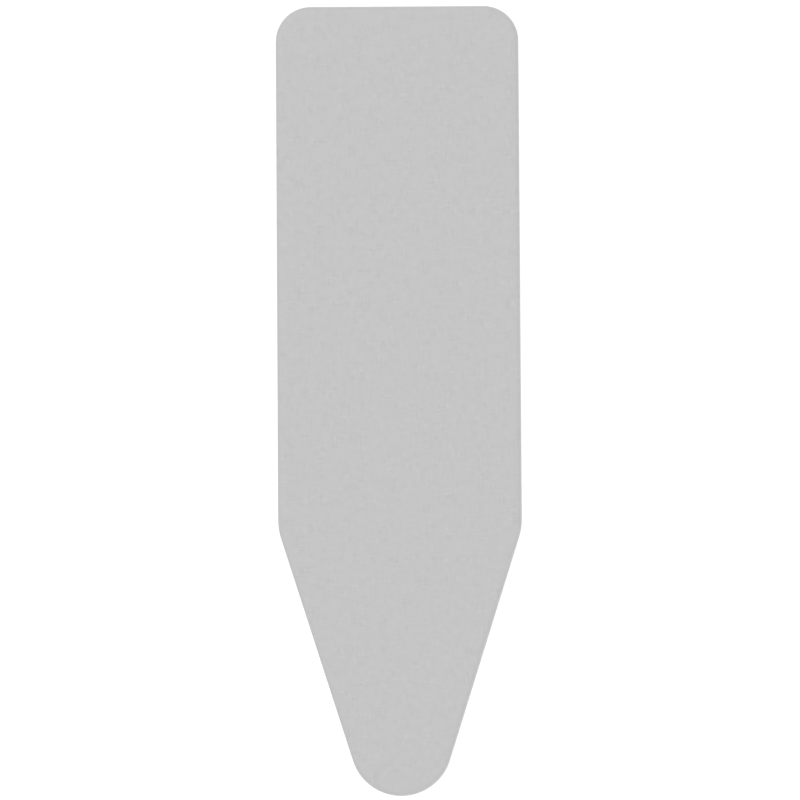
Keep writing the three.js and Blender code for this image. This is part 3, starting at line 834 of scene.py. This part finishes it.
def hem_tube(build):
    """The hem from mouth to mouth, with the cord's channel in it."""
    section = hem_section()
    angles = TURN * (np.arange(CHANNEL_SIDES) + 0.5) / CHANNEL_SIDES
    bore = CHANNEL_RADIUS * circle(angles)
    outer, channel = (
        placed(shape, hem_points[at], hem_normals[at], hem_lift[at], swell).reshape(-1, 3)
        for shape, at, swell in ((section, inside, hem_swell[inside]), (bore, sparse, 0))
    )
    faces = grid_faces(len(inside), len(section))
    faces += [face[::-1] for face in grid_faces(len(sparse), CHANNEL_SIDES, len(outer))]
    # Both ends are filled between the section and the bore, first one and then the other
    size, fill = len(outer) + len(channel), filling_faces(section, bore)
    first = [*range(len(section)), *range(len(outer), len(outer) + CHANNEL_SIDES)]
    last = [*range(len(outer) - len(section), len(outer)), *range(size - CHANNEL_SIDES, size)]
    faces += [*np.array(first)[fill[:, ::-1]], *np.array(last)[fill]]
    lay = laid_along(hem_run[inside], run_along(section))
    channel_lay = laid_along(hem_run[sparse], CHANNEL_RADIUS * angles)
    build.add(np.concatenate([outer, channel]), faces, np.concatenate([lay, channel_lay]))


def mouth_tape(build):
    """The turned edge between the two mouths, where no cord runs."""
    section = leaning([*TAPE_BACK, *mirrored(TAPE_LIP), *TAPE_LIP])
    reach = MOUTH_X - TAPE_GAP
    xs = np.linspace(-reach, reach, TAPE_STATIONS)
    line = np.column_stack([xs, np.full(TAPE_STATIONS, HEM_END_Y)])
    grid = placed(section, line, np.tile([0.0, 1.0], (TAPE_STATIONS, 1)))
    fill = filling_faces(section)
    last = (TAPE_STATIONS - 1) * len(section)
    faces = grid_faces(TAPE_STATIONS, len(section)) + [*fill[:, ::-1], *(last + fill)]
    build.add(grid, faces, laid_along(xs, run_along(section)))


# The seam lies this far out on the lips, and above or below their middle by these
SEAM_ACROSS, HEM_SEAM_UP, TAPE_SEAM_UP = 6.25, 1.02, 0.9
STITCH_PITCH, STITCH_LENGTH, PITCH_WOBBLE, SEAM_MARGIN = 3.6, 2.7, 0.12, 1.5
TAPE_STITCHES, TAPE_STITCH_SHIFT = range(-3, 3), 0.5


def seam_point(run, up):
    """A point of the seam on the hem's upper or lower lip."""
    values = (*hem_points.T, *hem_normals.T, hem_lift)
    x, y, across_x, across_y, lift = (np.interp(run, hem_run, value) for value in values)
    z = HEM_Z + lift + up * HEM_SEAM_UP + lean_of(SEAM_ACROSS)
    return np.array([x + across_x * SEAM_ACROSS, y + across_y * SEAM_ACROSS, z])


def hem_seam(build):
    """The stitches along the lips, above and below, and along the turned edge."""
    first, last = hem_run[inside[0]] + SEAM_MARGIN, hem_run[inside[-1]] - SEAM_MARGIN
    for up in (1, -1):
        lag = 0.5 if up < 0 else 0
        for i in range(int((last - first) / STITCH_PITCH)):
            run = first + STITCH_PITCH * (i + lag) + rng.uniform(-PITCH_WOBBLE, PITCH_WOBBLE)
            ends = seam_point(run, up), seam_point(run + STITCH_LENGTH, up)
            stitch(build, *ends, up, THREAD_RADIUS)
    for up in (1, -1):
        z = HEM_Z + up * TAPE_SEAM_UP + lean_of(SEAM_ACROSS)
        for i in TAPE_STITCHES:
            x = STITCH_PITCH * i + TAPE_STITCH_SHIFT
            start = np.array([x, HEM_END_Y + SEAM_ACROSS, z])
            stitch(build, start, start + (STITCH_LENGTH, 0, 0), up, THREAD_RADIUS)


hem_build = Build()
hem_tube(hem_build)
mouth_tape(hem_build)
hem_seam(hem_build)
hem = hem_build.piece("hem_binding_sewn", [tape_material, hem_thread])

# Draw cord

CLASP_SOCKET, SEAT_GAP = 9, 0.3
CORD_SIDES, STRANDS, TAIL_STEP, BRAID_DEPTH, BRAID_PITCH = 24, 6, 0.5, 0.07, 6
tail_end_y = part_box("cord_clasp")[1].y / MM - CLASP_SOCKET + SEAT_GAP


def cord_path():
    """The cord's middle line in plan, its normals, and how far the hem lifts it."""
    centre = np.array([MOUTH_X, HEM_END_Y - CORD_BEND_RADIUS])
    tail_length = centre[1] - tail_end_y
    shares = np.linspace(0, 1, round(tail_length / TAIL_STEP) + 1)[:-1, None]
    tail = np.array([CORD_X, tail_end_y]) + np.array([0, tail_length]) * shares
    bend_steps = round(CORD_BEND_RADIUS * RIGHT_ANGLE / TAIL_STEP)
    bend_normals = circle(math.pi - RIGHT_ANGLE * np.arange(bend_steps) / bend_steps)
    end = np.concatenate([tail, centre + bend_normals * CORD_BEND_RADIUS])
    end_normals = np.concatenate([np.tile([-1.0, 0.0], (len(tail), 1)), bend_normals])
    level = np.zeros(len(end))
    parts = (
        (end, hem_points, end * MIRROR),
        (end_normals, hem_normals, end_normals * MIRROR),
        (level, hem_lift, level),
    )
    return [np.concatenate([first, hem[sparse], last[::-1]]) for first, hem, last in parts]


def cord_piece():
    """The cord with its braid: two sets of strands that wind opposite ways."""
    points, normals, lifts = cord_path()
    run = run_along(points)
    angles = TURN * np.arange(CORD_SIDES) / CORD_SIDES
    wound = TURN * run[:, None] / BRAID_PITCH
    relief = np.maximum(np.cos(STRANDS * angles + wound), np.cos(STRANDS * angles - wound))
    radii = CORD_RADIUS * (1 - BRAID_DEPTH * (1 - relief) / 2)
    heights = HEM_Z + lifts[:, None] + radii * np.sin(angles)
    build = Build()
    build.add(
        swept(points, normals, radii * np.cos(angles), heights),
        tube_faces(len(points), CORD_SIDES),
        laid_along(run, CORD_RADIUS * angles),
    )
    return build.piece("draw_cord_braided", [cord_material])


draw_cord = cord_piece()

# Straps

WEBBING_WIDTH, WEBBING_THICKNESS, WEBBING_FOLD, WEBBING_TAPER, EYE_GAP = 20, 1.2, 24, 6, 0.6
PLATE_THICKNESS, BAR_WIDTH = 1, 2
RIBS, RIB_DEPTH, EDGE_DEPTH, LAYERS_APART = 11, 0.09, 0.25, 0.03
# The stretched webbing is narrower by this share, in full from this share of its half
WAIST, WAIST_REACH = 0.05, 0.35
EYE_POINTS, FOLD_POINTS, TAPER_STEPS, SPAN_POINTS = 15, 10, 6, 46
HALF_WEBBING = WEBBING_THICKNESS / 2


def strap_line(bar):
    """The webbing's middle line in X and Z: folded, round the bar, across, and back."""
    eye_half = PLATE_THICKNESS / 2 + EYE_GAP + HALF_WEBBING
    eye_reach = BAR_WIDTH / 2 + EYE_GAP + HALF_WEBBING
    fold_z = HALF_WEBBING + LAYERS_APART
    angles = np.linspace(RIGHT_ANGLE, -RIGHT_ANGLE, EYE_POINTS)
    eye = circle(angles) * (eye_reach, eye_half) + (bar, 0)
    eye_start = bar - WEBBING_TAPER
    fold_xs = np.linspace(bar - WEBBING_FOLD, eye_start, FOLD_POINTS)
    shares = np.linspace(0, 1, TAPER_STEPS + 1)[1:-1]
    taper_xs, rise = eye_start + WEBBING_TAPER * shares, smooth(0, 1, shares)
    span_xs = np.linspace(eye_start, 0, SPAN_POINTS)
    half = np.concatenate(
        [
            np.column_stack([fold_xs, np.full(FOLD_POINTS, fold_z)]),
            np.column_stack([taper_xs, fold_z + (eye_half - fold_z) * rise]),
            eye,
            np.column_stack([taper_xs, -(HALF_WEBBING + (eye_half - HALF_WEBBING) * rise)])[::-1],
            np.column_stack([span_xs, np.full(SPAN_POINTS, -HALF_WEBBING)]),
        ]
    )
    return np.concatenate([half, half[-2::-1] * MIRROR])


def webbing_profile():
    """The webbing's section: across as a share of its half width, and up."""
    count = 2 * RIBS + 1
    up = HALF_WEBBING - RIB_DEPTH * (np.arange(count) % 2)
    up[[0, -1]] = HALF_WEBBING - EDGE_DEPTH
    top = np.column_stack([np.linspace(-1, 1, count), up])
    return np.concatenate([top, (top * (1, -1))[::-1]])


def strap_piece(place):
    """One strap, as wide as its clips' bars are apart."""
    y = middle_y(f"{place}_strap")
    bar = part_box(f"{place}_strap")[1].x / MM - (BAR_WIDTH / 2 + EYE_GAP + WEBBING_THICKNESS)
    line = strap_line(bar)
    steps = np.gradient(line, axis=0)
    steps /= np.linalg.norm(steps, axis=1, keepdims=True)
    sides = np.column_stack([-steps[:, 1], steps[:, 0]])
    across, up = webbing_profile().T
    waist = smooth(bar, bar * WAIST_REACH, np.abs(line[:, 0])) * (line[:, 1] < 0)
    xs, zs = line.T[:, :, None] + sides.T[:, :, None] * up
    ys = y + WEBBING_WIDTH / 2 * across * (1 - WAIST * waist)[:, None]
    grid = np.stack([xs, ys, HEM_Z + zs], axis=-1)
    faces = tube_faces(len(line), len(across), turned=True)
    build = Build()
    build.add(grid, faces, laid_along(run_along(line), WEBBING_WIDTH / 2 * across))
    box_stitches(build, bar, y)
    return build.piece(f"{place}_strap_woven", [webbing_material, webbing_thread])


# The sewn box on a strap's fold: how far it is from the fold's end, the taper and the
# webbing's edges, and its stitches
BOX_FROM_END, BOX_FROM_TAPER, BOX_FROM_EDGE = 2.5, 1.5, 2.6
BOX_PITCH, BOX_STITCH, BOX_LAG, BOX_THREAD_RADIUS = 2.9, 2.2, 0.12, 0.24


def sewn_line(build, start, end, up):
    """A row of stitches from start to end."""
    length = np.linalg.norm(end - start)
    count = round(length / BOX_PITCH)
    for i in range(count):
        begin = start + (end - start) * (i + BOX_LAG) / count
        stitch(build, begin, begin + (end - start) * (BOX_STITCH / length), up, BOX_THREAD_RADIUS)


def box_stitches(build, bar, y):
    """A sewn box with a cross on each fold, on both of its faces."""
    low_x = bar - WEBBING_FOLD + BOX_FROM_END
    high_x = bar - WEBBING_TAPER - BOX_FROM_TAPER
    half_y = WEBBING_WIDTH / 2 - BOX_FROM_EDGE
    corners = [(low_x, -half_y), (high_x, -half_y), (high_x, half_y), (low_x, half_y)]
    lines = [*zip(corners, corners[1:] + corners[:1]), *zip(corners[:2], corners[2:])]
    for side in (1, -1):
        for up, z in ((1, WEBBING_THICKNESS + LAYERS_APART), (-1, -WEBBING_THICKNESS)):
            for line in lines:
                start, end = (np.array([side * dx, y + dy, HEM_Z + z]) for dx, dy in line)
                sewn_line(build, start, end, up)


straps = {place: strap_piece(place) for place in PLACES}

# Lock's spring

SPRING_TURNS, SPRING_STEPS, SPRING_SIDES, SPRING_WIRE = 4, 28, 10, 0.35
spring_low, spring_high = (np.array(corner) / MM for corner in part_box("cord_lock_spring"))


def spring_piece():
    """A coil of round wire along X, as long and as wide as its node."""
    middle = (spring_low + spring_high) / 2
    radius = (spring_high[2] - spring_low[2]) / 2 - SPRING_WIRE
    count = SPRING_TURNS * SPRING_STEPS + 1
    angles = TURN * np.arange(count) / SPRING_STEPS
    xs = np.linspace(spring_low[0] + SPRING_WIRE, spring_high[0] - SPRING_WIRE, count)
    outwards = np.column_stack([0 * angles, circle(angles)])
    centres = np.column_stack([xs, middle[1:] + circle(angles) * radius])
    around = TURN * np.arange(SPRING_SIDES)[:, None] / SPRING_SIDES
    round_wire = outwards[:, None, :] * np.cos(around) + np.array([1.0, 0, 0]) * np.sin(around)
    wire = centres[:, None, :] + SPRING_WIRE * round_wire
    build = Build()
    build.add(wire, tube_faces(count, SPRING_SIDES, turned=True))
    return build.piece("cord_lock_spring_coil", [steel_material])


spring = spring_piece()

# Riding

for piece, node, slot in (
    (cloth, "face_cloth", "metallised_cotton"),
    (foam, "foam_lining", "foam"),
    (hem, "hem_binding", "binding_tape"),
    (draw_cord, "draw_cord", "cord"),
    *((straps[place], f"{place}_strap", "elastic_webbing") for place in PLACES),
    (spring, "cord_lock_spring", "plated_steel"),
):
    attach(piece, "cord_lock" if node == "cord_lock_spring" else "cover")
    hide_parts(node)

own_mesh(spring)

# CAD pieces that stay

BEVELS = {"clip_base": 0.16, "clip_lever": 0.18, "clip_pin": 0.12, "clasp": 0.3, "lock": 0.25}
SMOOTH_ANGLE, WELD_REACH = math.radians(32), 0.01


def finish_piece(node, material, bevel):
    """The node's material, with its edges rounded by bevel."""
    node.data.materials.clear()
    node.data.materials.append(material)
    node.modifiers.new("weld", "WELD").merge_threshold = WELD_REACH * MM
    round_off = node.modifiers.new("round_off", "BEVEL")
    round_off.width = bevel * MM
    round_off.segments = 2
    round_off.limit_method = "ANGLE"
    round_off.angle_limit = SMOOTH_ANGLE
    node.data.shade_smooth()
    node.modifiers.new("normals", "WEIGHTED_NORMAL").keep_sharp = True


for name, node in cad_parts.items():
    bevel = next((size for word, size in BEVELS.items() if word in name), None)
    if bevel is not None and not node.hide_render:
        is_plastic = "lock" in name or "clasp" in name
        finish_piece(node, plastic_material if is_plastic else steel_material, bevel)

# Floor, light, camera

WORLD_LEVEL, FLOOR_GREY, FLOOR_GLOW = 0.88, 0.8, 0.44
FLOOR_SIZE, FLOOR_Z = 14.0, -0.0005
# Each sun's light on a level face, where it comes from, and how wide it is in degrees
SUNS = {
    "key_sun": (0.12, (-0.3, 0.36, 1.0), 60),
    "under_sun": (0.17, (0.75, -0.85, -0.8), 64),
}


def most_of(tree, first, *others):
    """The largest of some values."""
    for other in others:
        first = add_node(tree, "Math", {0: first, 1: other}, operation="MAXIMUM").outputs["Value"]
    return first


def seen_rays(tree, rays):
    """1 for rays of the camera, of mirrors and of glass, else 0."""
    return most_of(tree, *(rays[f"Is {kind} Ray"] for kind in ("Camera", "Glossy", "Transmission")))


def studio_world():
    """Even light all round, and white where it is seen."""
    world = bpy.data.worlds.new("studio")
    world.use_nodes = True
    tree = world.node_tree
    seen = seen_rays(tree, add_node(tree, "LightPath").outputs)
    level = add_node(tree, "MapRange", {"Value": seen, "To Min": WORLD_LEVEL, "To Max": 1})
    background = tree.nodes["Background"]
    background.inputs["Color"].default_value = (1, 1, 1, 1)
    tree.links.new(level.outputs["Result"], background.inputs["Strength"])
    return world


def floor_look():
    """Pale and lit, with the object's shadow. It lets light through from below, and
    doesn't hide the object from there."""
    material = bpy.data.materials.new("pale_floor")
    material.use_nodes = True
    tree = material.node_tree
    tree.nodes.clear()
    rays = add_node(tree, "LightPath").outputs
    glowing = {0: seen_rays(tree, rays), 1: FLOOR_GLOW}
    strength = add_node(tree, "Math", glowing, operation="MULTIPLY")
    paint = add_node(tree, "BsdfDiffuse", {"Color": (FLOOR_GREY, FLOOR_GREY, FLOOR_GREY, 1)})
    glow = add_node(tree, "Emission", {"Strength": strength.outputs["Value"]})
    lit = add_node(tree, "AddShader", {0: paint.outputs["BSDF"], 1: glow.outputs["Emission"]})
    clear = add_node(tree, "BsdfTransparent").outputs["BSDF"]
    behind = add_node(tree, "NewGeometry").outputs["Backfacing"]
    through = most_of(tree, behind, rays["Is Diffuse Ray"], rays["Is Shadow Ray"])
    mix = add_node(tree, "MixShader", {0: through, 1: lit.outputs["Shader"], 2: clear})
    add_node(tree, "OutputMaterial", {"Surface": mix.outputs["Shader"]})
    return material


def sun_light(name, share, source, spread):
    towards = Vector(source).normalized()
    sun_data = bpy.data.lights.new(name, "SUN")
    sun_data.energy = math.pi * share / abs(towards.z)
    sun_data.angle = math.radians(spread)
    sun = add_object(name, sun_data)
    sun.rotation_mode = "QUATERNION"
    sun.rotation_quaternion = towards.to_track_quat("Z", "Y")


bpy.context.scene.world = studio_world()
for name, settings in SUNS.items():
    sun_light(name, *settings)

floor_mesh = bpy.data.meshes.new("floor")
reach = FLOOR_SIZE / 2
floor_corners = [(-reach, -reach, 0), (reach, -reach, 0), (reach, reach, 0), (-reach, reach, 0)]
floor_mesh.from_pydata(floor_corners, [], [(0, 1, 2, 3)])
floor_mesh.materials.append(floor_look())
floor = add_object("floor", floor_mesh)
floor.location.z = FLOOR_Z

# The camera looks straight down from far off, as the photograph does
CAMERA_X, CAMERA_Y, CAMERA_HEIGHT, CAMERA_TURN = 0.00116, 0.002, 8.0, math.radians(-0.355)
FRAME_WIDTH, RIM_Z, SENSOR_WIDTH = 1.2619, 0.03, 36
camera_data = bpy.data.cameras.new("camera")
camera_data.sensor_width = SENSOR_WIDTH
camera_data.lens = SENSOR_WIDTH * (CAMERA_HEIGHT - RIM_Z) / FRAME_WIDTH
camera_data.clip_start, camera_data.clip_end = 0.1, 100
camera = add_object("camera", camera_data)
camera.location = (CAMERA_X, CAMERA_Y, CAMERA_HEIGHT)
camera.rotation_euler = (0, 0, CAMERA_TURN)
bpy.context.scene.camera = camera
bpy.context.scene.view_settings.view_transform = "Standard"
